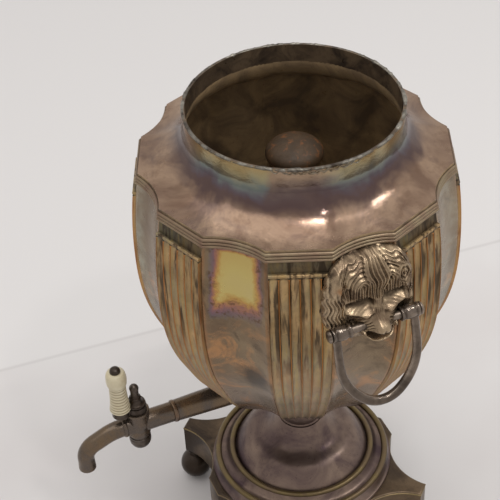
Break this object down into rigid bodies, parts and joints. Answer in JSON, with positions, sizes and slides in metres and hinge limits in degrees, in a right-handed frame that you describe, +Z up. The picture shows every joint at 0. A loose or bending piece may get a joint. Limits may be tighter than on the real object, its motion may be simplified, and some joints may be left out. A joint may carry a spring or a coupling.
{
  "type": "tea urn",
  "caption": "Tea urn with a many-sided fluted bowl, open round neck, lion mask drop handles, a plug tap and a domed foot on a square plinth with ball feet.",
  "frame": {"origin": "on the urn's axis at table height, in the middle of the four ball feet", "axes": "+Z up along the urn's axis, the tap points to -Y, the handles lie along +X and -X"},
  "size_m": [0.2492, 0.2638, 0.3656],
  "materials": {
    "plate_grey": "silver plate on copper, worn and tarnished grey",
    "plate_gold": "silver plate on copper, tarnished gold",
    "plate_brown": "silver plate on copper, tarnished brown",
    "dark_metal": "dark patinated, polished",
    "gold_ring": "bright brass where the plate has worn off",
    "copper": "dull copper with brown patina",
    "iron": "plain",
    "ivory": "cream, turned and polished"
  },
  "bodies": {
    "urn": {"bowl_shell": "plate_grey", "fluted_panels": "plate_gold", "shoulder": "plate_brown", "shoulder_band": "plate_brown", "neck_collar": "plate_brown", "rim_bead": "plate_grey", "lion_mask_right": "plate_brown", "lion_mask_left": "plate_brown", "jaw_bar_right": "dark_metal", "jaw_bar_left": "dark_metal", "bar_knobs_right": "dark_metal", "bar_knobs_left": "dark_metal", "heater_tube": "copper", "heater_cover": "copper", "heater_boss": "copper", "tie_rod": "iron", "tie_washer": "iron", "tie_nut": "iron", "stem": "dark_metal", "foot_dome": "dark_metal", "foot_bead_outer": "gold_ring", "foot_bead_inner": "gold_ring", "plinth": "plate_brown", "base_plate": "dark_metal", "ball_feet": "dark_metal", "foot_bolts": "iron", "outlet_tube": "plate_brown", "joint_ring": "plate_gold", "tap_barrel": "plate_brown", "spout": "plate_brown"},
    "tap_key": {"tap_plug": "dark_metal", "key_lever": "dark_metal", "key_finial": "dark_metal", "grip": "ivory", "grip_pin": "dark_metal", "plug_washer": "dark_metal", "plug_nut": "dark_metal"},
    "ring_right": {"ring_handle_right": "dark_metal"},
    "ring_left": {"ring_handle_left": "dark_metal"}
  },
  "joints": [
    {"name": "tap_turn", "type": "hinge", "parent": "urn", "child": "tap_key", "pos_m": [0, -0.1185, 0.1431], "axis": [0, 0, 1], "continuous": true},
    {"name": "ring_right_swing", "type": "hinge", "parent": "urn", "child": "ring_right", "pos_m": [0.11062, 0, 0.2826], "axis": [0, -1, 0], "range_deg": [-27, 165]},
    {"name": "ring_left_swing", "type": "hinge", "parent": "urn", "child": "ring_left", "pos_m": [-0.11062, 0, 0.2826], "axis": [0, 1, 0], "range_deg": [-12, 180]}
  ]
}
